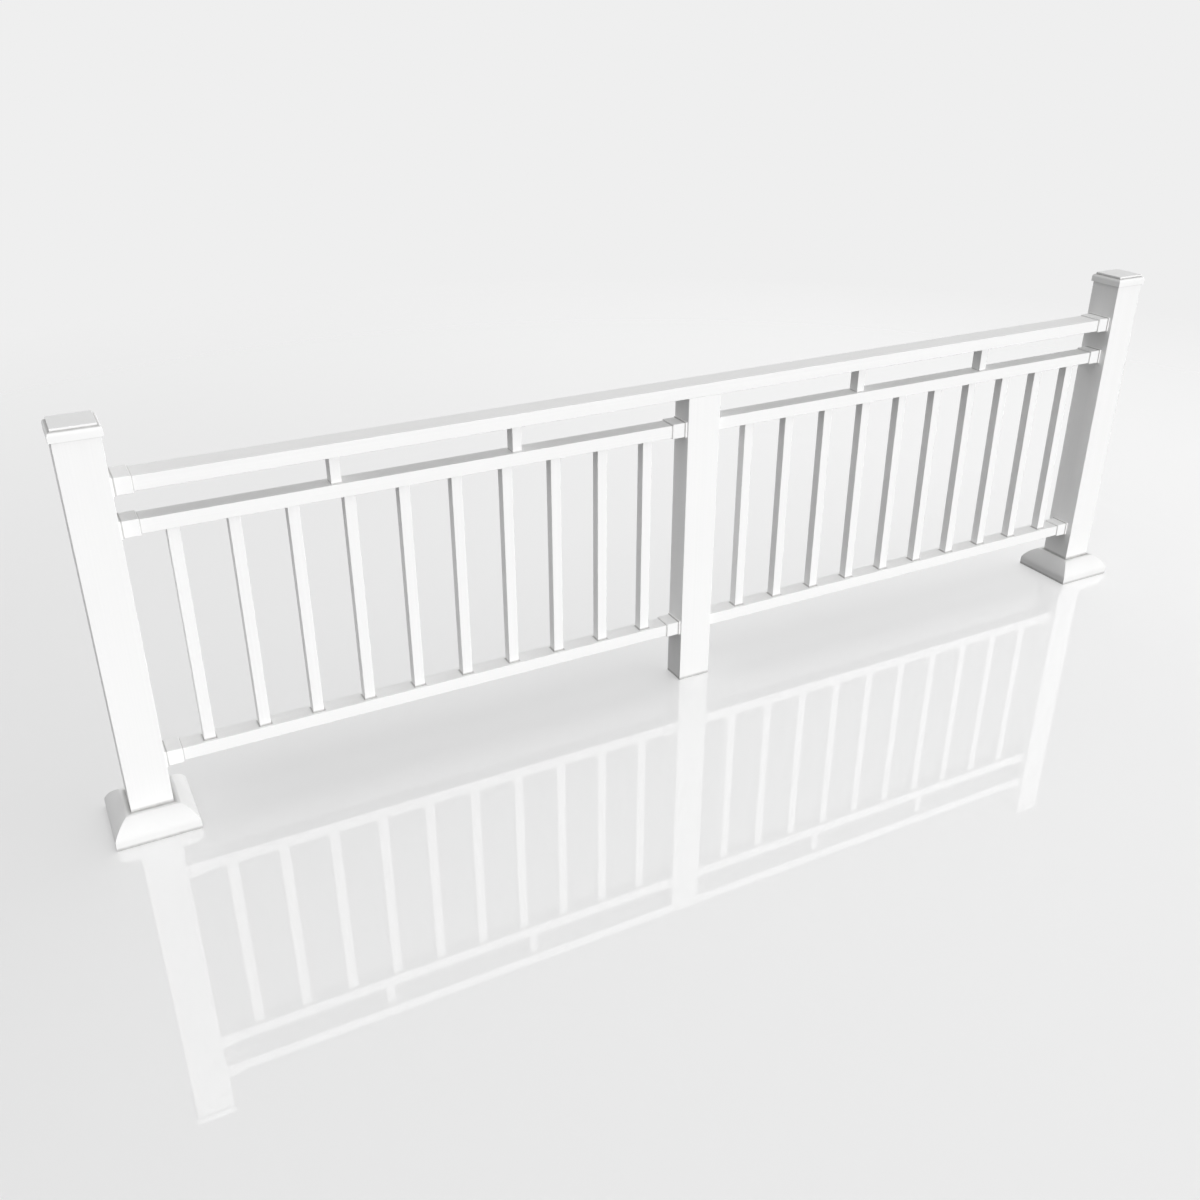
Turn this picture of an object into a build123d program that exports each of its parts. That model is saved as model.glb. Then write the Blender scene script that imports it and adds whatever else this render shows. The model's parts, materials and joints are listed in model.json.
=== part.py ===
from build123d import *
import os

# Two-bay composite railing section, in millimetres.
# X runs along the railing, -Y is its front, Z is up.
# The origin is on the floor, at the centre of the middle post's foot.

# Layout
clear_length = 3048.0  # between the inner faces of the end posts, 10 ft
rail_top = 914.4  # floor to the top of the top rail, 36 in
slot_height = 71.5  # open band between the top rail and the mid rail
floor_gap = 158.5  # floor to the underside of the bottom rails

# End posts: a hollow sleeve, a cap that slips over it and a skirt round its foot
post_width = 101.6
post_wall = 5.0
post_edge = 1.5
post_rise = 104.6  # top of the top rail to the lower edge of the cap
cap_width = 111.0
cap_fascia = 23.5  # lower edge to the ledge round the top plate
cap_crown = 6.5  # thickness over the sleeve's end
cap_shoulder = 9.0  # radius of the rounded shoulder
plate_width = 95.0
plate_height = 6.0
plate_edge = 0.8
skirt_width = 203.2
skirt_foot = 25.0  # plain upright edge at the floor
skirt_height = 66.0
skirt_ledge = 14.0  # flat ledge beside the post
skirt_slope_radius = 80.0
skirt_foot_radius = 25.0  # softens the turn from the upright edge into the slope
skirt_ledge_radius = 8.0
skirt_wall = 4.0
skirt_lip = 18.0  # collar that runs down the post inside the skirt
sleeve_fit = 0.3  # clearance of the cap and the skirt round the sleeve

# Rails: hollow, with rounded long edges
top_rail_depth = 72.0
top_rail_height = 35.0
infill_depth = 52.0  # mid and bottom rails
infill_height = 35.0
rail_wall = 4.0
rail_edge = 1.5
pocket_depth = 22.0  # the right bay's rails enter the middle post by this much
end_web = 5.0  # closes the end of a rail inside the middle post

# Brackets: a collar round the rail's end on a flange against the post
collar_length = 38.0
collar_wall = 2.7
flange_thickness = 6.0
flange_margin = 1.5  # the flange stands out from the collar
collar_bevel = 1.0  # round the mouth of the collar
rail_fit = 0.3  # clearance round a rail in its collar or pocket

# Infill
balusters_per_bay = 10
baluster_width = 28.6
baluster_wall = 5.0
baluster_edge = 1.5
baluster_end_gap = 100.0  # post face to the nearest baluster
baluster_seat = 16.0  # how far a baluster reaches up into the mid rail
socket_fit = 0.3
block_width = 26.0
block_depth = 34.0
block_spacing = 474.0  # between the two spacer blocks of a bay

# Heights and places that follow from the sizes above
top_rail_bottom = rail_top - top_rail_height
mid_rail_top = top_rail_bottom - slot_height
mid_rail_bottom = mid_rail_top - infill_height
bottom_rail_top = floor_gap + infill_height
cap_bottom = rail_top + post_rise
sleeve_top = cap_bottom + cap_fascia - cap_crown
post_centre = clear_length / 2 + post_width / 2
post_face = clear_length / 2
bay_length = post_face - post_width / 2
bay_centre = post_width / 2 + bay_length / 2
baluster_run = bay_length - 2 * baluster_end_gap - baluster_width
baluster_pitch = baluster_run / (balusters_per_bay - 1)
bays = {"left": -bay_centre, "right": bay_centre}

os.makedirs("parts", exist_ok=True)


def save(piece, name):
    """Name a finished piece and write it as its own file."""
    piece.part.label = name
    export_step(piece.part, f"parts/{name}.step")


def baluster_places(bay):
    """X of every baluster of a bay, evenly pitched and centred in it."""
    first = bays[bay] - baluster_run / 2
    return [first + i * baluster_pitch for i in range(balusters_per_bay)]


def block_places(bay):
    """X of the two spacer blocks of a bay."""
    return [bays[bay] - block_spacing / 2, bays[bay] + block_spacing / 2]


def rail_ends(bay):
    """X of the two ends of a bay's mid and bottom rails."""
    outer = post_face - flange_thickness
    if bay == "left":
        return -outer, -post_width / 2 - flange_thickness
    return post_width / 2 - pocket_depth, outer


# End post sleeves, open at the foot so that they slip over a structural post
for side, x in (("left", -post_centre), ("right", post_centre)):
    with BuildPart() as post_sleeve:
        with BuildSketch(Plane(origin=(x, 0, 0))):
            RectangleRounded(post_width, post_width, post_edge)
            inner = post_width - 2 * post_wall
            Rectangle(inner, inner, mode=Mode.SUBTRACT)
        extrude(amount=sleeve_top)
    save(post_sleeve, f"{side}_post_sleeve")

# Post caps: a rounded fascia with a flat square plate on top, hollow to fit the sleeve
for side, x in (("left", -post_centre), ("right", post_centre)):
    with BuildPart() as post_cap:
        with BuildSketch(Plane(origin=(x, 0, cap_bottom))):
            Rectangle(cap_width, cap_width)
        extrude(amount=cap_fascia)
        fillet(post_cap.faces().sort_by(Axis.Z)[-1].edges(), radius=cap_shoulder)
        with BuildSketch(Plane(origin=(x, 0, cap_bottom + cap_fascia))):
            Rectangle(plate_width, plate_width)
        extrude(amount=plate_height)
        fillet(post_cap.faces().sort_by(Axis.Z)[-1].edges(), radius=plate_edge)
        with BuildSketch(Plane(origin=(x, 0, cap_bottom))):
            bore = post_width + 2 * sleeve_fit
            RectangleRounded(bore, bore, post_edge)
        extrude(amount=cap_fascia - cap_crown, mode=Mode.SUBTRACT)
    save(post_cap, f"{side}_post_cap")

# Post skirts: a moulded shell of four mitred sides, with a collar against the sleeve
skirt_half = skirt_width / 2
skirt_bore = post_width / 2 + sleeve_fit
ledge_edge = post_width / 2 + skirt_ledge
for side, x in (("left", -post_centre), ("right", post_centre)):
    with BuildPart() as skirt_side:
        with BuildSketch(Plane.XZ) as profile:
            with BuildLine():
                foot = Line((skirt_half, 0), (skirt_half, skirt_foot))
                RadiusArc(foot @ 1, (ledge_edge, skirt_height), -skirt_slope_radius)
                Polyline(
                    (ledge_edge, skirt_height),
                    (skirt_bore, skirt_height),
                    (skirt_bore, skirt_height - skirt_lip),
                    (skirt_bore + skirt_wall, skirt_height - skirt_lip),
                    (skirt_bore + skirt_wall, skirt_height - skirt_wall),
                    (ledge_edge, skirt_height - skirt_wall),
                )
                RadiusArc(
                    (ledge_edge, skirt_height - skirt_wall),
                    (skirt_half - skirt_wall, skirt_foot),
                    skirt_slope_radius - skirt_wall,
                )
                Polyline(
                    (skirt_half - skirt_wall, skirt_foot),
                    (skirt_half - skirt_wall, 0),
                    (skirt_half, 0),
                )
            make_face()
            for corner, radius in (
                ((skirt_half, skirt_foot, 0), skirt_foot_radius),
                ((ledge_edge, skirt_height, 0), skirt_ledge_radius),
                ((skirt_half - skirt_wall, skirt_foot, 0), skirt_foot_radius - skirt_wall),
                ((ledge_edge, skirt_height - skirt_wall, 0), skirt_ledge_radius - skirt_wall),
            ):
                fillet(profile.vertices().sort_by_distance(corner)[0], radius=radius)
        extrude(amount=skirt_half, both=True)
        split(bisect_by=Plane(origin=(0, 0, 0), z_dir=(1, 1, 0)))
        split(bisect_by=Plane(origin=(0, 0, 0), z_dir=(1, -1, 0)))
    with BuildPart(Plane(origin=(x, 0, 0))) as post_skirt:
        with PolarLocations(0, 4):
            add(skirt_side.part)
    save(post_skirt, f"{side}_post_skirt")

# Middle post, as deep as the top rail that lies on it, with pockets for the right bay's rails
with BuildPart() as middle_post:
    with BuildSketch():
        RectangleRounded(post_width, top_rail_depth, post_edge)
        Rectangle(post_width - 2 * post_wall, top_rail_depth - 2 * post_wall, mode=Mode.SUBTRACT)
    extrude(amount=top_rail_bottom)
    with BuildSketch(Plane(origin=(post_width / 2 - post_wall, 0, 0), x_dir=(0, 1, 0), z_dir=(1, 0, 0))):
        with Locations((0, mid_rail_top - infill_height / 2), (0, bottom_rail_top - infill_height / 2)):
            Rectangle(infill_depth + 2 * rail_fit, infill_height + 2 * rail_fit)
    extrude(amount=post_wall, mode=Mode.SUBTRACT)
save(middle_post, "middle_post")

# Top rail, in one length over the middle post
with BuildPart() as top_rail:
    top_rail_end = post_face - flange_thickness
    top_rail_axis = Plane(origin=(-top_rail_end, 0, rail_top - top_rail_height / 2), x_dir=(0, 1, 0), z_dir=(1, 0, 0))
    with BuildSketch(top_rail_axis):
        RectangleRounded(top_rail_depth, top_rail_height, rail_edge)
        Rectangle(top_rail_depth - 2 * rail_wall, top_rail_height - 2 * rail_wall, mode=Mode.SUBTRACT)
    extrude(amount=2 * top_rail_end)
save(top_rail, "top_rail")

# Mid and bottom rails, routed with a square socket for each baluster
socket_width = baluster_width + 2 * socket_fit
for bay in bays:
    start, end = rail_ends(bay)
    for level, rail_bottom, socket_level in (
        ("mid", mid_rail_bottom, mid_rail_bottom),
        ("bottom", floor_gap, bottom_rail_top - rail_wall),
    ):
        with BuildPart() as rail:
            centre = rail_bottom + infill_height / 2
            rail_axis = Plane(origin=(start, 0, centre), x_dir=(0, 1, 0), z_dir=(1, 0, 0))
            with BuildSketch(rail_axis):
                RectangleRounded(infill_depth, infill_height, rail_edge)
            extrude(amount=end - start)
            web = end_web if bay == "right" else 0
            with BuildSketch(rail_axis.offset(web)):
                Rectangle(infill_depth - 2 * rail_wall, infill_height - 2 * rail_wall)
            extrude(amount=end - start - web, mode=Mode.SUBTRACT)
            with BuildSketch(Plane.XY.offset(socket_level)):
                with Locations([(x, 0) for x in baluster_places(bay)]):
                    Rectangle(socket_width, socket_width)
            extrude(amount=rail_wall, mode=Mode.SUBTRACT)
        save(rail, f"{bay}_{level}_rail")

# Balusters stand on the floor of the bottom rail and reach up into the mid rail
baluster_foot = floor_gap + rail_wall
baluster_length = mid_rail_bottom + baluster_seat - baluster_foot
for bay in bays:
    for number, x in enumerate(baluster_places(bay), start=1):
        with BuildPart() as baluster:
            with BuildSketch(Plane(origin=(x, 0, baluster_foot))):
                RectangleRounded(baluster_width, baluster_width, baluster_edge)
                hollow = baluster_width - 2 * baluster_wall
                Rectangle(hollow, hollow, mode=Mode.SUBTRACT)
            extrude(amount=baluster_length)
        save(baluster, f"{bay}_baluster_{number:02d}")

# Spacer blocks hold the top rail off the mid rails
for bay in bays:
    for number, x in enumerate(block_places(bay), start=1):
        with BuildPart() as spacer_block:
            with BuildSketch(Plane(origin=(x, 0, mid_rail_top))):
                RectangleRounded(block_width, block_depth, baluster_edge)
            extrude(amount=slot_height)
        save(spacer_block, f"{bay}_spacer_block_{number}")

# Rail brackets: name, the post face they sit on, the way the rail leaves it, and the rail
top_axis = rail_top - top_rail_height / 2
mid_axis = mid_rail_top - infill_height / 2
bottom_axis = bottom_rail_top - infill_height / 2
top_size = (top_rail_depth, top_rail_height)
infill_size = (infill_depth, infill_height)
brackets = (
    ("top_rail_left_bracket", -post_face, 1, top_axis, top_size),
    ("top_rail_right_bracket", post_face, -1, top_axis, top_size),
    ("left_mid_rail_outer_bracket", -post_face, 1, mid_axis, infill_size),
    ("left_mid_rail_inner_bracket", -post_width / 2, -1, mid_axis, infill_size),
    ("right_mid_rail_outer_bracket", post_face, -1, mid_axis, infill_size),
    ("left_bottom_rail_outer_bracket", -post_face, 1, bottom_axis, infill_size),
    ("left_bottom_rail_inner_bracket", -post_width / 2, -1, bottom_axis, infill_size),
    ("right_bottom_rail_outer_bracket", post_face, -1, bottom_axis, infill_size),
)
collar_gain = 2 * (rail_fit + collar_wall)
flange_gain = collar_gain + 2 * flange_margin
for name, x, way, height, (depth, tall) in brackets:
    seat = Plane(origin=(x, 0, height), x_dir=(0, 1, 0), z_dir=(way, 0, 0))
    with BuildPart() as bracket:
        with BuildSketch(seat):
            RectangleRounded(depth + flange_gain, tall + flange_gain, rail_edge)
        extrude(amount=flange_thickness)
        with BuildSketch(seat.offset(flange_thickness)):
            RectangleRounded(depth + collar_gain, tall + collar_gain, rail_edge)
            Rectangle(depth + 2 * rail_fit, tall + 2 * rail_fit, mode=Mode.SUBTRACT)
        extrude(amount=collar_length)
        mouth = bracket.faces().sort_by(Axis.X, reverse=way < 0)[-1]
        chamfer(mouth.outer_wire().edges(), length=collar_bevel)
    save(bracket, name)
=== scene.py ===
# %% [markdown]
# # A white composite railing section
#
# The railing is two bays long. Two capped end posts stand on moulded skirts, a plain post carries the middle
# of one long top rail, and twenty square balusters fill the bays. Its shapes are already exact solids, so
# this lesson leaves every mesh as it is and gives each kind of piece the skin that it gets in the factory:
# long profiles are pushed through a die, while caps, skirts and brackets come out of a mould.

# %% Load the railing as a fixed frame
import json
import math

import bpy
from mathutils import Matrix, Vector


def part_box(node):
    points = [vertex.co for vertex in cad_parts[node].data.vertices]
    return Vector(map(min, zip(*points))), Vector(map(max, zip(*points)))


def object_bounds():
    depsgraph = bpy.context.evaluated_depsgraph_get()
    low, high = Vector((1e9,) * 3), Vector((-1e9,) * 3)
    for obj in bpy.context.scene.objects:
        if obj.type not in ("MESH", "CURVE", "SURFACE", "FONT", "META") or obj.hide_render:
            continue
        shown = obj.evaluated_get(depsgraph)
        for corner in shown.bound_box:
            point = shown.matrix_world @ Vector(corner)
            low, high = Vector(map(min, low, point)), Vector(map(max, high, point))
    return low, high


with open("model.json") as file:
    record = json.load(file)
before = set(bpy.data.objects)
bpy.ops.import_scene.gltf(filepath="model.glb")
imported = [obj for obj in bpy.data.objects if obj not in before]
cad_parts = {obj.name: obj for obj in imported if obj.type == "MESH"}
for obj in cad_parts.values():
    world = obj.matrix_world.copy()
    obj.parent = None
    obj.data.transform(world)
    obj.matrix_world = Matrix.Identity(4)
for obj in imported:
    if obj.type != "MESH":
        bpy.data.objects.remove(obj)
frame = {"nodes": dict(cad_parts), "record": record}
nodes = frame["nodes"]
cad_low, cad_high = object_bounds()
railing_length, railing_depth, railing_height = cad_high - cad_low
print(f"{len(nodes)} pieces, {railing_length:.3f} x {railing_depth:.3f} x {railing_height:.3f} m")

# %% [markdown]
# ## Helpers for node trees
#
# A material is a graph, and writing one in code means the same three steps again and again: add a node,
# fill in its values, join it to the next. Three short helpers keep the graphs below readable. Values go to
# a socket by its name where they can, so a line can be checked against what Blender shows on the node.

# %% Node tree helpers
FLOAT, COLOR, VECTOR = "NodeSocketFloat", "NodeSocketColor", "NodeSocketVector"


def add_node(tree, kind, settings=None, **values):
    """Add a node, set its properties, and fill or join its inputs by socket name."""
    node = tree.nodes.new(kind)
    for name, setting in (settings or {}).items():
        setattr(node, name, setting)
    for name, value in values.items():
        fill(tree, node.inputs[name.replace("_", " ")], value)
    return node


def fill(tree, socket, value):
    """Join a socket to another node's output, or set its plain value."""
    if isinstance(value, bpy.types.NodeSocket):
        tree.links.new(value, socket)
    else:
        socket.default_value = value


def new_group(name, inputs, outputs):
    """Make an empty shader node group from lists of named sockets."""
    group = bpy.data.node_groups.new(name, "ShaderNodeTree")
    for socket_name, kind in inputs:
        group.interface.new_socket(socket_name, in_out="INPUT", socket_type=kind)
    for socket_name, kind in outputs:
        group.interface.new_socket(socket_name, in_out="OUTPUT", socket_type=kind)
    return group, group.nodes.new("NodeGroupInput").outputs, group.nodes.new("NodeGroupOutput").inputs


print("helpers ready: add_node, fill, new_group")

# %% [markdown]
# ## Four steps that patterns are made of
#
# Noise gives what is irregular, a change of range sets its contrast, arithmetic combines it with something
# else, and a blend of two colours shows it. Each of these becomes one line in the groups below. The Mix node
# has a set of sockets with the same names for every kind of value, so its colours are picked by number.

# %% Pattern helpers
MIX_SHARE, MIX_FIRST, MIX_SECOND, MIX_RESULT = 0, 6, 7, 2


def remap(tree, value, low, high, to_low, to_high, shape="LINEAR"):
    """Move a value from one range to another, held at the ends."""
    limits = {"From_Min": low, "From_Max": high, "To_Min": to_low, "To_Max": to_high}
    node = add_node(tree, "ShaderNodeMapRange", {"interpolation_type": shape}, Value=value, **limits)
    return node.outputs["Result"]


def noise(tree, position, scale, detail=2.0):
    """Solid noise around 0.5; a scale of 10 has lumps about 0.1 m across."""
    node = add_node(tree, "ShaderNodeTexNoise", Vector=position, Scale=scale, Detail=detail)
    return node.outputs["Fac"]


def mix_colors(tree, share, first, second):
    """Blend two colours by a share from 0 to 1."""
    node = add_node(tree, "ShaderNodeMix", {"data_type": "RGBA"})
    fill(tree, node.inputs[MIX_SHARE], share)
    fill(tree, node.inputs[MIX_FIRST], first)
    fill(tree, node.inputs[MIX_SECOND], second)
    return node.outputs[MIX_RESULT]


def arithmetic(tree, operation, *values):
    """One step of arithmetic on plain values."""
    node = add_node(tree, "ShaderNodeMath", {"operation": operation})
    for socket, value in zip(node.inputs, values):
        fill(tree, socket, value)
    return node.outputs["Value"]


print("helpers ready: remap, noise, mix_colors, arithmetic")

# %% [markdown]
# ## The skin of an extruded profile
#
# Posts, rails and balusters are drawn through a steel die. The die leaves very faint lines along the whole
# length, and the cooling bath leaves slow patches of more and less gloss. An image of streaks would need UVs
# and would repeat. Solid noise in metres needs neither: stretched along the profile it gives the lines, and
# unstretched it gives the patches. One group serves every profile, with the stretch as an input.

# %% Node group: extruded skin
SKIN_INPUTS = [
    ("Position", VECTOR),
    ("Light Tone", COLOR),
    ("Dark Tone", COLOR),
    ("Satin", FLOAT),
    ("Dull", FLOAT),
]
SKIN_OUTPUTS = [("Color", COLOR), ("Roughness", FLOAT), ("Height", FLOAT)]
PATCH_SCALE = 3.2  # patches of gloss about 0.3 m long
GRAIN_SCALE = 900.0  # pits of about a millimetre
LINE_SHARE = 0.6  # the lines' part of the tone; the patches give the rest
GRAIN_HEIGHT = 0.35  # of the height of the lines
TONE_RANGE = (0.35, 0.65)  # the part of the noise that is spread over both tones
GLOSS_RANGE = (0.3, 0.7)  # the part that is spread from satin to dull


def make_extruded_skin():
    """Die lines along the profile, slow patches of gloss and a fine grain."""
    group, given, wanted = new_group("Extruded skin", SKIN_INPUTS + [("Stretch", VECTOR)], SKIN_OUTPUTS)
    stretched = add_node(group, "ShaderNodeVectorMath", {"operation": "MULTIPLY"})
    fill(group, stretched.inputs[0], given["Position"])
    fill(group, stretched.inputs[1], given["Stretch"])
    die_lines = noise(group, stretched.outputs["Vector"], 1.0, detail=3.0)
    patches = noise(group, given["Position"], PATCH_SCALE)
    grain = noise(group, given["Position"], GRAIN_SCALE, detail=1.0)
    line_part = arithmetic(group, "MULTIPLY", die_lines, LINE_SHARE)
    tone = arithmetic(group, "MULTIPLY_ADD", patches, 1 - LINE_SHARE, line_part)
    share = remap(group, tone, *TONE_RANGE, 0.0, 1.0)
    fill(group, wanted["Color"], mix_colors(group, share, given["Dark Tone"], given["Light Tone"]))
    fill(group, wanted["Roughness"], remap(group, patches, *GLOSS_RANGE, given["Satin"], given["Dull"]))
    fill(group, wanted["Height"], arithmetic(group, "MULTIPLY_ADD", grain, GRAIN_HEIGHT, die_lines))
    return group


extruded_skin = make_extruded_skin()
print("group:", extruded_skin.name, len(extruded_skin.nodes), "nodes")

# %% [markdown]
# ## The skin of a moulded piece
#
# Caps, skirts and brackets are injection moulded. Their surface has a soft orange peel a few millimetres
# wide instead of lines, and the flow of the plastic leaves broad, weak clouds. The group takes the same
# inputs as the extruded skin apart from the stretch, so both can be placed in a material the same way.

# %% Node group: moulded skin
PEEL_SCALE = 380.0  # orange peel about 2.5 mm wide
FLOW_SCALE = 11.0  # clouds about 90 mm wide
FLOW_HEIGHT = 0.5  # of the height of the peel


def make_moulded_skin():
    """Orange peel on broad clouds of tone."""
    group, given, wanted = new_group("Moulded skin", SKIN_INPUTS, SKIN_OUTPUTS)
    peel = noise(group, given["Position"], PEEL_SCALE, detail=1.0)
    flow = noise(group, given["Position"], FLOW_SCALE, detail=3.0)
    share = remap(group, flow, *TONE_RANGE, 0.0, 1.0)
    fill(group, wanted["Color"], mix_colors(group, share, given["Dark Tone"], given["Light Tone"]))
    fill(group, wanted["Roughness"], remap(group, peel, *GLOSS_RANGE, given["Satin"], given["Dull"]))
    fill(group, wanted["Height"], arithmetic(group, "MULTIPLY_ADD", flow, FLOW_HEIGHT, peel))
    return group


moulded_skin = make_moulded_skin()
print("group:", moulded_skin.name, len(moulded_skin.nodes), "nodes")

# %% [markdown]
# ## A film on the faces that look up
#
# Even a clean railing holds a trace of dust on its ledges, rail tops and cap plates, and none on its sides.
# The upward part of the surface's normal finds those faces, and noise breaks the film up. It stays very
# weak here, because this railing is new. The group only says where the film lies; each material decides
# what the film does to its colour and gloss.

# %% Node group: ledge film
FILM_INPUTS = [("Position", VECTOR), ("Normal", VECTOR), ("Amount", FLOAT)]
FILM_SCALE = 17.0  # patches about 60 mm wide
FILM_RANGE = (0.35, 0.7)
THINNEST_FILM = 0.3
STEEPEST_LEDGE = 0.55  # upward part of the normal, on a slope of 57 degrees


def make_ledge_film():
    """A mask of the film: none on upright faces, uneven on level ones."""
    group, given, wanted = new_group("Ledge film", FILM_INPUTS, [("Mask", FLOAT)])
    split = add_node(group, "ShaderNodeSeparateXYZ", Vector=given["Normal"])
    upward = remap(group, split.outputs["Z"], STEEPEST_LEDGE, 1.0, 0.0, 1.0)
    clumps = noise(group, given["Position"], FILM_SCALE, detail=4.0)
    broken = remap(group, clumps, *FILM_RANGE, THINNEST_FILM, 1.0)
    film = arithmetic(group, "MULTIPLY", upward, broken)
    fill(group, wanted["Mask"], arithmetic(group, "MULTIPLY", film, given["Amount"]))
    return group


ledge_film = make_ledge_film()
print("group:", ledge_film.name, len(ledge_film.nodes), "nodes")

# %% [markdown]
# ## Where the joints are
#
# To shade a joint, a material has to know how far each point of a surface lies from it. Most joints here lie
# in a plane: a height, or a place along the railing. Two more follow a square outline, round each baluster's
# socket and round the post inside its skirt. The places come from the boxes of the loaded pieces, so the
# lines follow if the railing is built to another size. Only the height of a cap's plate is given, because no
# box shows it. One group turns a position into these measures.

# %% Measure the joints
PLATE_HEIGHT = 0.006  # the flat plate on a cap, in metres
SOCKET_MARGIN = 0.005  # the rails' far faces, which have no sockets, lie further away than this

ledge_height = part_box("left_post_skirt")[1].z
cap_edge_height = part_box("left_post_cap")[0].z
cap_step_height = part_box("left_post_cap")[1].z - PLATE_HEIGHT
bottom_rail_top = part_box("left_bottom_rail")[1].z
mid_rail_bottom, mid_rail_top = (corner.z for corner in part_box("left_mid_rail"))
top_rail_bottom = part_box("top_rail")[0].z
outer_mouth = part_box("top_rail_right_bracket")[0].x
outer_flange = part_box("top_rail")[1].x
inner_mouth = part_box("left_mid_rail_inner_bracket")[0].x
inner_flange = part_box("left_mid_rail")[1].x
middle_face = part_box("middle_post")[1].x


def middle_and_half(node_name):
    """X of a piece's middle, and half its width."""
    corner, far_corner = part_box(node_name)
    return (corner.x + far_corner.x) / 2, (far_corner.x - corner.x) / 2


post_middle, post_half = middle_and_half("right_post_sleeve")
first_baluster, baluster_half = middle_and_half("right_baluster_01")
baluster_pitch = middle_and_half("right_baluster_02")[0] - first_baluster
baluster_mid_height = (bottom_rail_top + mid_rail_bottom) / 2
baluster_half_height = (mid_rail_bottom - bottom_rail_top) / 2
print(f"balusters every {1000 * baluster_pitch:.1f} mm, posts {post_middle:.4f} m from the middle")

# %% Node group: joint measures
MEASURES = ["Along", "From Middle", "Height", "Socket Outline", "Bore Outline"]


def make_joint_measures():
    """Places along and up the railing, and distances from the two square outlines, in metres."""
    group, given, wanted = new_group(
        "Joint measures", [("Position", VECTOR)], [(name, FLOAT) for name in MEASURES]
    )
    axes = add_node(group, "ShaderNodeSeparateXYZ", Vector=given["Position"]).outputs
    from_middle = arithmetic(group, "ABSOLUTE", axes["X"])
    aside = arithmetic(group, "ABSOLUTE", axes["Y"])
    from_first = arithmetic(group, "SUBTRACT", from_middle, first_baluster)
    from_nearest = arithmetic(group, "WRAP", from_first, baluster_pitch / 2, -baluster_pitch / 2)
    round_baluster = arithmetic(group, "MAXIMUM", arithmetic(group, "ABSOLUTE", from_nearest), aside)
    # Above and below the sockets the distance grows by a metre, so that no outline shows there
    above_middle = arithmetic(group, "SUBTRACT", axes["Z"], baluster_mid_height)
    from_mid_height = arithmetic(group, "ABSOLUTE", above_middle)
    past_sockets = arithmetic(group, "GREATER_THAN", from_mid_height, baluster_half_height + SOCKET_MARGIN)
    round_baluster = arithmetic(group, "ADD", round_baluster, past_sockets)
    from_post = arithmetic(group, "ABSOLUTE", arithmetic(group, "SUBTRACT", from_middle, post_middle))
    round_post = arithmetic(group, "MAXIMUM", from_post, aside)
    fill(group, wanted["Along"], axes["X"])
    fill(group, wanted["From Middle"], from_middle)
    fill(group, wanted["Height"], axes["Z"])
    fill(group, wanted["Socket Outline"], arithmetic(group, "SUBTRACT", round_baluster, baluster_half))
    fill(group, wanted["Bore Outline"], arithmetic(group, "SUBTRACT", round_post, post_half))
    return group


joint_measures = make_joint_measures()
print("group:", joint_measures.name, len(joint_measures.nodes), "nodes")

# %% [markdown]
# ## Painted shade at a joint
#
# Where two white pieces meet, shade gathers in the corner: at the foot of a baluster, at the mouth of a
# bracket, under a cap and along the foot of a skirt. From a few metres away these thin grey lines are what
# tells white from white. The solids meet there, or leave a few tenths of a millimetre, too little to catch
# any shade, so this shade is painted into the colour. The group makes a soft mask of painted shade from a
# distance, made a little uneven by noise.

# %% Node group: joint line
LINE_INPUTS = [("Position", VECTOR), ("Measure", FLOAT), ("Place", FLOAT), ("Reach", FLOAT)]
# noise that makes the painted shade a little uneven
SHADE_BREAKUP_SCALE = 70.0  # lumps about 15 mm wide
SHADE_BREAKUP_RANGE = (0.3, 0.7)
FAINTEST_SHADE_BREAKUP = 0.75


def make_painted_shade_line():
    """A mask of painted shade that is full at a joint and fades out over the reach."""
    group, given, wanted = new_group("Painted shade line", LINE_INPUTS, [("Mask", FLOAT)])
    offset = arithmetic(group, "SUBTRACT", given["Measure"], given["Place"])
    distance = arithmetic(group, "ABSOLUTE", offset)
    near = remap(group, distance, 0.0, given["Reach"], 1.0, 0.0, shape="SMOOTHSTEP")
    shade_breakup = noise(group, given["Position"], SHADE_BREAKUP_SCALE)
    uneven = remap(group, shade_breakup, *SHADE_BREAKUP_RANGE, FAINTEST_SHADE_BREAKUP, 1.0)
    fill(group, wanted["Mask"], arithmetic(group, "MULTIPLY", near, uneven))
    return group


painted_shade_line = make_painted_shade_line()
print("group:", painted_shade_line.name, len(painted_shade_line.nodes), "nodes")

# %% [markdown]
# ## Nine white finishes
#
# The whole railing is white, but not one white: profiles, balusters, blocks, caps, skirts and brackets come
# from batches and tools of their own. One table gives each finish its skin, its two close tones and its
# range of gloss, and a second one gives the joints that cross it. The Principled shader and its plain
# numbers stay in the material itself, and only what varies over the surface comes from the groups. Gloss
# paint would be shinier than this satin composite.

# %% Tables of finishes and joints
ALONG, ACROSS = 0.8, 240.0  # die lines over a metre long and about 4 mm wide
ALONG_X = (ALONG, ACROSS, ACROSS)
ALONG_Z = (ACROSS, ACROSS, ALONG)
MOULDED = None

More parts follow.
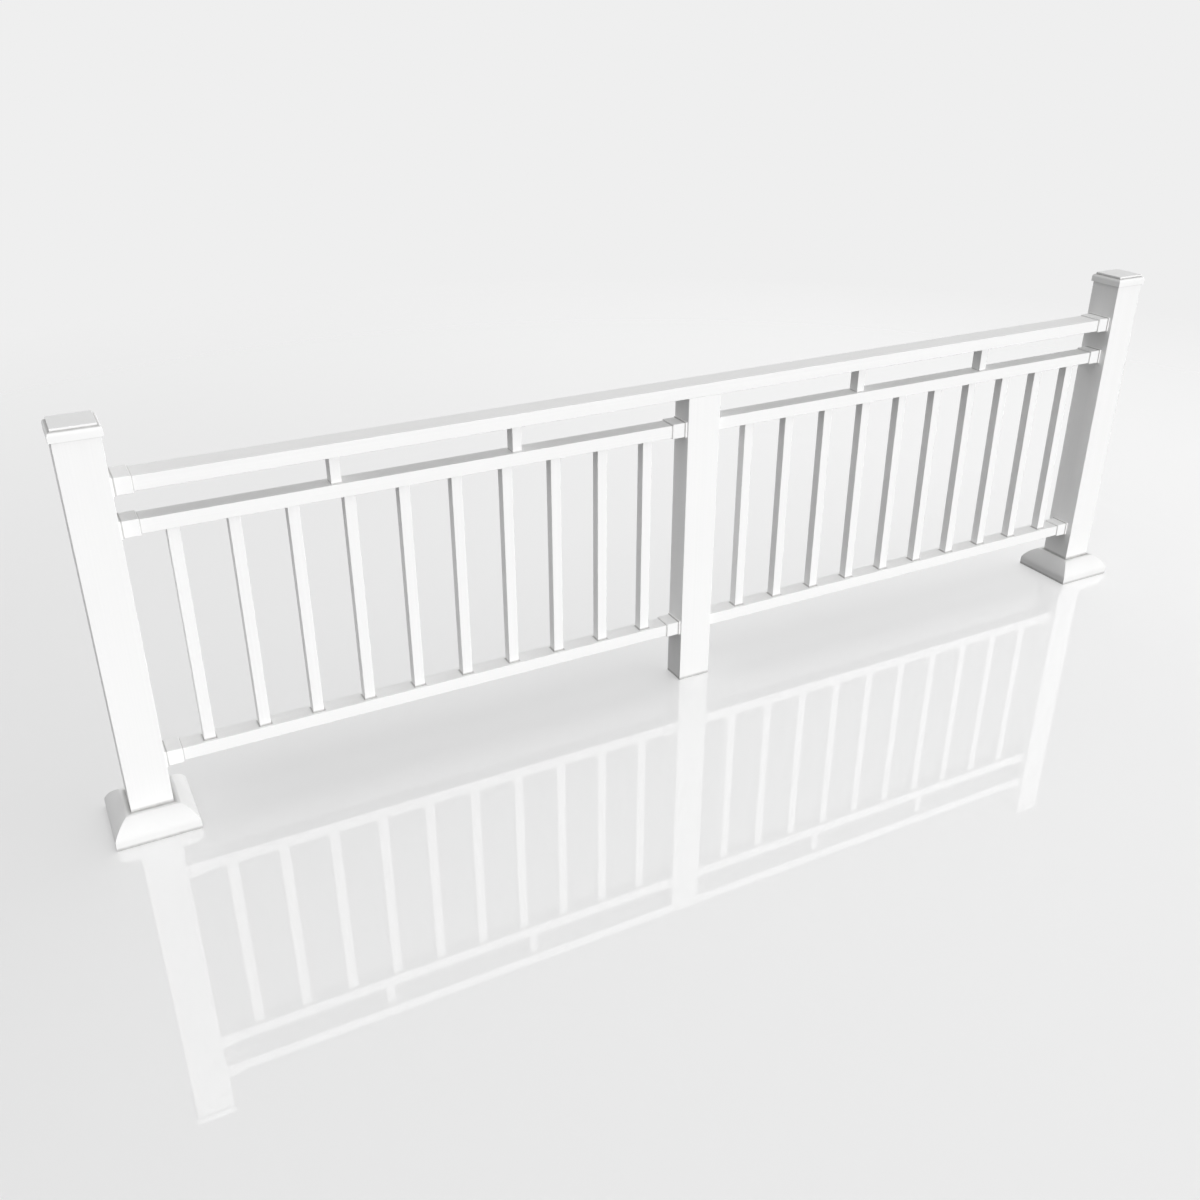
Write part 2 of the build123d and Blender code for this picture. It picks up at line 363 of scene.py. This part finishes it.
# finish: (light tone, dark tone, satin, dull, bump distance in metres, die direction)
finishes = {
    "post": ((0.905, 0.905, 0.903), (0.880, 0.880, 0.878), 0.34, 0.44, 0.00012, ALONG_Z),
    "middle_post": ((0.905, 0.905, 0.903), (0.880, 0.880, 0.878), 0.34, 0.44, 0.00012, ALONG_Z),
    "top_rail": ((0.905, 0.905, 0.903), (0.880, 0.880, 0.878), 0.32, 0.42, 0.00012, ALONG_X),
    "rail": ((0.905, 0.905, 0.903), (0.880, 0.880, 0.878), 0.32, 0.42, 0.00012, ALONG_X),
    "baluster": ((0.905, 0.905, 0.904), (0.878, 0.878, 0.876), 0.34, 0.45, 0.00010, ALONG_Z),
    "block": ((0.900, 0.900, 0.898), (0.876, 0.876, 0.874), 0.36, 0.46, 0.00010, ALONG_Z),
    "cap": ((0.908, 0.908, 0.906), (0.888, 0.888, 0.886), 0.30, 0.38, 0.00016, MOULDED),
    "skirt": ((0.875, 0.875, 0.873), (0.855, 0.855, 0.853), 0.32, 0.42, 0.00018, MOULDED),
    "bracket": ((0.904, 0.904, 0.902), (0.882, 0.882, 0.880), 0.33, 0.42, 0.00014, MOULDED),
}
FINE, BROAD, FOOT = 0.0035, 0.006, 0.011  # how far the shade reaches from a joint, in metres

# finish: [(measure, place of the joint, reach), ...], where shade is painted along each joint
joints = {
    "post": [("Height", ledge_height, FOOT), ("Height", cap_edge_height, FINE)],
    "middle_post": [("Height", 0.0, FOOT)],
    "top_rail": [("From Middle", outer_mouth, FINE)],
    "rail": [
        ("From Middle", outer_mouth, FINE),
        ("Along", inner_mouth, FINE),
        ("Along", middle_face, FINE),
        ("Socket Outline", 0.0, BROAD),
    ],
    "baluster": [("Height", bottom_rail_top, BROAD), ("Height", mid_rail_bottom, FINE)],
    "block": [("Height", mid_rail_top, FINE), ("Height", top_rail_bottom, FINE)],
    "cap": [("Height", cap_step_height, FINE)],
    "skirt": [("Height", 0.0, FOOT), ("Bore Outline", 0.0, FOOT)],
    "bracket": [("From Middle", outer_flange, FINE), ("Along", inner_flange, FINE)],
}
print(len(finishes), "finishes,", sum(len(places) for places in joints.values()), "joint lines")

# %% Build the materials
FILM_TONE = (0.70, 0.69, 0.665, 1.0)
FILM_AMOUNT = 0.10
FILM_DULLING = 1.5  # roughness that a full film would add
# tone and strength of the shade painted along the joints
PAINTED_SHADE_TONE = (0.26, 0.255, 0.245, 1.0)
PAINTED_SHADE_DEPTH = 0.7  # share of the joint tone at the middle of a line
BUMP_STRENGTH = 0.5


def place_group(tree, group, **values):
    """Put a node group into a material and fill its inputs."""
    node = tree.nodes.new("ShaderNodeGroup")
    node.node_tree = group
    for name, value in values.items():
        fill(tree, node.inputs[name.replace("_", " ")], value)
    return node.outputs


def painted_shade_mask(tree, position, finish):
    """The darkest of the lines of painted shade along the joints that cross a finish."""
    measures = place_group(tree, joint_measures, Position=position)
    deepest = 0.0
    for measure, place, reach in joints[finish]:
        values = {"Measure": measures[measure], "Place": place, "Reach": reach}
        mask = place_group(tree, painted_shade_line, Position=position, **values)["Mask"]
        deepest = arithmetic(tree, "MAXIMUM", mask, deepest)
    return arithmetic(tree, "MULTIPLY", deepest, PAINTED_SHADE_DEPTH)


def white_finish(finish):
    """One satin white, from its rows in the two tables."""
    light, dark, satin, dull, bump_distance, stretch = finishes[finish]
    material = bpy.data.materials.new(f"{finish}_satin_white")
    material.use_nodes = True
    tree = material.node_tree
    shader = tree.nodes["Principled BSDF"]
    position = add_node(tree, "ShaderNodeTexCoord").outputs["Object"]
    normal = add_node(tree, "ShaderNodeNewGeometry").outputs["Normal"]
    skin_values = {"Light_Tone": (*light, 1.0), "Dark_Tone": (*dark, 1.0), "Satin": satin, "Dull": dull}
    if stretch is MOULDED:
        skin = place_group(tree, moulded_skin, Position=position, **skin_values)
    else:
        skin = place_group(tree, extruded_skin, Position=position, Stretch=stretch, **skin_values)
    film = place_group(tree, ledge_film, Position=position, Normal=normal, Amount=FILM_AMOUNT)["Mask"]
    dusted = mix_colors(tree, film, skin["Color"], FILM_TONE)
    # painted shade along the joints darkens the colour
    color = mix_colors(tree, painted_shade_mask(tree, position, finish), dusted, PAINTED_SHADE_TONE)
    roughness = arithmetic(tree, "MULTIPLY_ADD", film, FILM_DULLING, skin["Roughness"])
    bump = add_node(tree, "ShaderNodeBump", Strength=BUMP_STRENGTH, Distance=bump_distance)
    fill(tree, bump.inputs["Height"], skin["Height"])
    fill(tree, shader.inputs["Base Color"], color)
    fill(tree, shader.inputs["Roughness"], roughness)
    fill(tree, shader.inputs["Normal"], bump.outputs["Normal"])
    return material


materials = {finish: white_finish(finish) for finish in finishes}
print("finishes:", ", ".join(materials))

# %% [markdown]
# ## Hand each piece its finish
#
# The record already says which slot every piece belongs to, so the script asks it instead of guessing from
# names. The middle post and the top rail are the two exceptions: no skirt and no balusters meet them, so
# they have finishes of their own. Only the material slots change: the meshes stay as they were loaded.

# %% Assign the finishes
count = dict.fromkeys(finishes, 0)
for subpart in frame["record"]["subparts"]:
    node_name = subpart["node"]
    finish = node_name if node_name in finishes else subpart["material_slot"]
    for material_slot in nodes[node_name].material_slots:
        material_slot.material = materials[finish]
    count[finish] += 1
print("pieces per finish:", count)

# %% [markdown]
# ## Floor and backdrop
#
# A pale, polished floor shows the railing's shadow and a weak mirror image. A hard far edge would draw a
# line behind the railing, so the floor fades out with distance into a backdrop of nearly its own tone. The
# camera and every gloss see a white floor, and a faint glow lifts it towards the right, where the studio is
# brighter. To diffuse light the same floor is a dark grey, because all that a white one throws back would
# wash out the undersides and the shaded faces. The Light Path node tells these kinds of ray apart.

# %% Make the floor


def grey(level):
    """A colour with no tint; 1 is white."""
    return level, level, level, 1.0


def shown_rays(tree):
    """1 for a ray that shows the studio, straight or in a mirror; 0 for one that only lights the railing."""
    rays = add_node(tree, "ShaderNodeLightPath").outputs
    mirrored = arithmetic(tree, "MAXIMUM", rays["Is Glossy Ray"], rays["Is Transmission Ray"])
    return arithmetic(tree, "MAXIMUM", rays["Is Camera Ray"], mirrored)


FLOOR_RADIUS = 9.0
FLOOR_CORNERS = 96
FADE_FROM, FADE_TO = 2.2, 5.6  # metres from the middle of the railing
FLOOR_SHOWN = grey(1.0)
FLOOR_BOUNCE = grey(0.20)
LIFT_FROM, LIFT_TO = -2.0, 3.0  # along the railing
GLOW_AT_RIGHT = 0.15
FLOOR_ROUGHNESS = 0.012
FLOOR_IOR = 2.2  # a stronger mirror than varnish, which has 1.5


def make_floor():
    """A round floor that mirrors, glows a little at the right and fades out at its edge."""
    bpy.ops.mesh.primitive_circle_add(vertices=FLOOR_CORNERS, radius=FLOOR_RADIUS, fill_type="NGON")
    floor = bpy.context.object
    floor.name = "studio_floor"
    material = bpy.data.materials.new("studio_floor_pale")
    material.use_nodes = True
    tree = material.node_tree
    shader = tree.nodes["Principled BSDF"]
    shader.inputs["Roughness"].default_value = FLOOR_ROUGHNESS
    shader.inputs["IOR"].default_value = FLOOR_IOR
    shader.inputs["Emission Strength"].default_value = 1.0
    shown = shown_rays(tree)
    fill(tree, shader.inputs["Base Color"], mix_colors(tree, shown, FLOOR_BOUNCE, FLOOR_SHOWN))
    position = add_node(tree, "ShaderNodeTexCoord").outputs["Object"]
    to_the_right = add_node(tree, "ShaderNodeSeparateXYZ", Vector=position).outputs["X"]
    lift = remap(tree, to_the_right, LIFT_FROM, LIFT_TO, 0.0, GLOW_AT_RIGHT)
    glow = arithmetic(tree, "MULTIPLY", shown, lift)
    fill(tree, shader.inputs["Emission Color"], mix_colors(tree, glow, grey(0.0), grey(1.0)))
    distance = add_node(tree, "ShaderNodeVectorMath", {"operation": "LENGTH"})
    fill(tree, distance.inputs[0], position)
    fade = remap(tree, distance.outputs["Value"], FADE_FROM, FADE_TO, 1.0, 0.0)
    fill(tree, shader.inputs["Alpha"], fade)
    floor.data.materials.append(material)
    return floor


floor = make_floor()
print("floor:", floor.name, f"{2 * FLOOR_RADIUS:.0f} m across")

# %% [markdown]
# ## Soft studio light
#
# The fronts are the brightest, the tops come next and the faces turned to the left are in clear shade. A
# dome of light, made in the next step, is strong overhead and weak near the horizon: a top gets the most of
# it, a slope less, and an upright face little. A low lamp in front adds to the fronts and hardly to the
# tops, and a weaker one behind keeps the back from going dark. Both are sun lamps, which are as strong at
# the far post as at the near one. Gloss doesn't show them, so neither leaves a glint along the rails. They
# cast no shadow, so the posts don't darken the brackets beside them: the soft shadows all come from the
# dome.

# %% Place the lamps
LAMP_SPREAD = 7.0  # degrees


def soft_lamp(name, towards, strength):
    """A soft lamp, far away; towards points from the railing to the light."""
    lamp = bpy.data.lights.new(name, "SUN")
    lamp.energy = strength
    lamp.angle = math.radians(LAMP_SPREAD)
    lamp.use_shadow = False
    holder = bpy.data.objects.new(name, lamp)
    holder.rotation_euler = Vector(towards).to_track_quat("Z", "Y").to_euler()
    holder.visible_glossy = False
    bpy.context.collection.objects.link(holder)


soft_lamp("front_light", towards=(0.42, -0.66, 0.03), strength=2.65)
soft_lamp("back_light", towards=(0.20, 0.45, 0.03), strength=1.30)

# %% [markdown]
# ## The surround
#
# What lights the railing and what is seen behind it need not be the same. The dome lights the railing, with
# next to nothing from below the horizon. The camera and every mirror image see a pale backdrop instead. In
# mirror images it is dimmer high up, so that the bright fronts stand out in the floor's image of the
# railing.

# %% Build the surround
DOME_TOP = grey(1.1)
DOME_EDGE = grey(0.15)
BELOW = grey(0.05)
BACKDROP = grey(0.863)
OVERHEAD = grey(0.40)
DIM_FROM, DIM_TO = 0.1, 0.5  # height of a direction: 0 is level and 1 is straight up

world = bpy.data.worlds.new("studio")
bpy.context.scene.world = world
world.use_nodes = True
sky = world.node_tree
in_gloss = add_node(sky, "ShaderNodeLightPath").outputs["Is Glossy Ray"]
direction = add_node(sky, "ShaderNodeTexCoord").outputs["Generated"]
height = add_node(sky, "ShaderNodeSeparateXYZ", Vector=direction).outputs["Z"]
dome = mix_colors(sky, remap(sky, height, 0.0, 1.0, 0.0, 1.0), DOME_EDGE, DOME_TOP)
dome = mix_colors(sky, arithmetic(sky, "GREATER_THAN", height, 0.0), BELOW, dome)
high_up = remap(sky, height, DIM_FROM, DIM_TO, 0.0, 1.0)
dimmed = arithmetic(sky, "MULTIPLY", high_up, in_gloss)
backdrop = mix_colors(sky, dimmed, BACKDROP, OVERHEAD)
fill(sky, sky.nodes["Background"].inputs["Color"], mix_colors(sky, shown_rays(sky), dome, backdrop))
print("surround:", world.name, "dome", DOME_EDGE[0], "to", DOME_TOP[0], "backdrop", BACKDROP[0])

# %% [markdown]
# ## The camera
#
# The view looks down on the railing from the front left, from just outside the near post. The lens is as
# long as the sensor is wide, so the frame takes in about 53 degrees. A shift or a roll isn't needed: the
# uprights lean together downwards simply because the camera looks down.

# %% Place the camera
CAMERA_PLACE = (-1.7065, -2.6925, 1.8727)
CAMERA_DOWN = 27.161  # degrees below level
CAMERA_RIGHT = 27.53  # degrees to the right of straight at the railing
SENSOR_WIDTH = 36.0  # millimetres

lens = bpy.data.cameras.new("main_view")
lens.sensor_width = SENSOR_WIDTH
lens.lens = SENSOR_WIDTH
camera = bpy.data.objects.new("main_view", lens)
camera.location = CAMERA_PLACE
camera.rotation_euler = (math.radians(90 - CAMERA_DOWN), 0, math.radians(-CAMERA_RIGHT))
bpy.context.collection.objects.link(camera)
bpy.context.scene.camera = camera
bpy.context.scene.view_settings.view_transform = "Standard"
print(f"camera at {CAMERA_PLACE}, {lens.lens:.0f} mm")
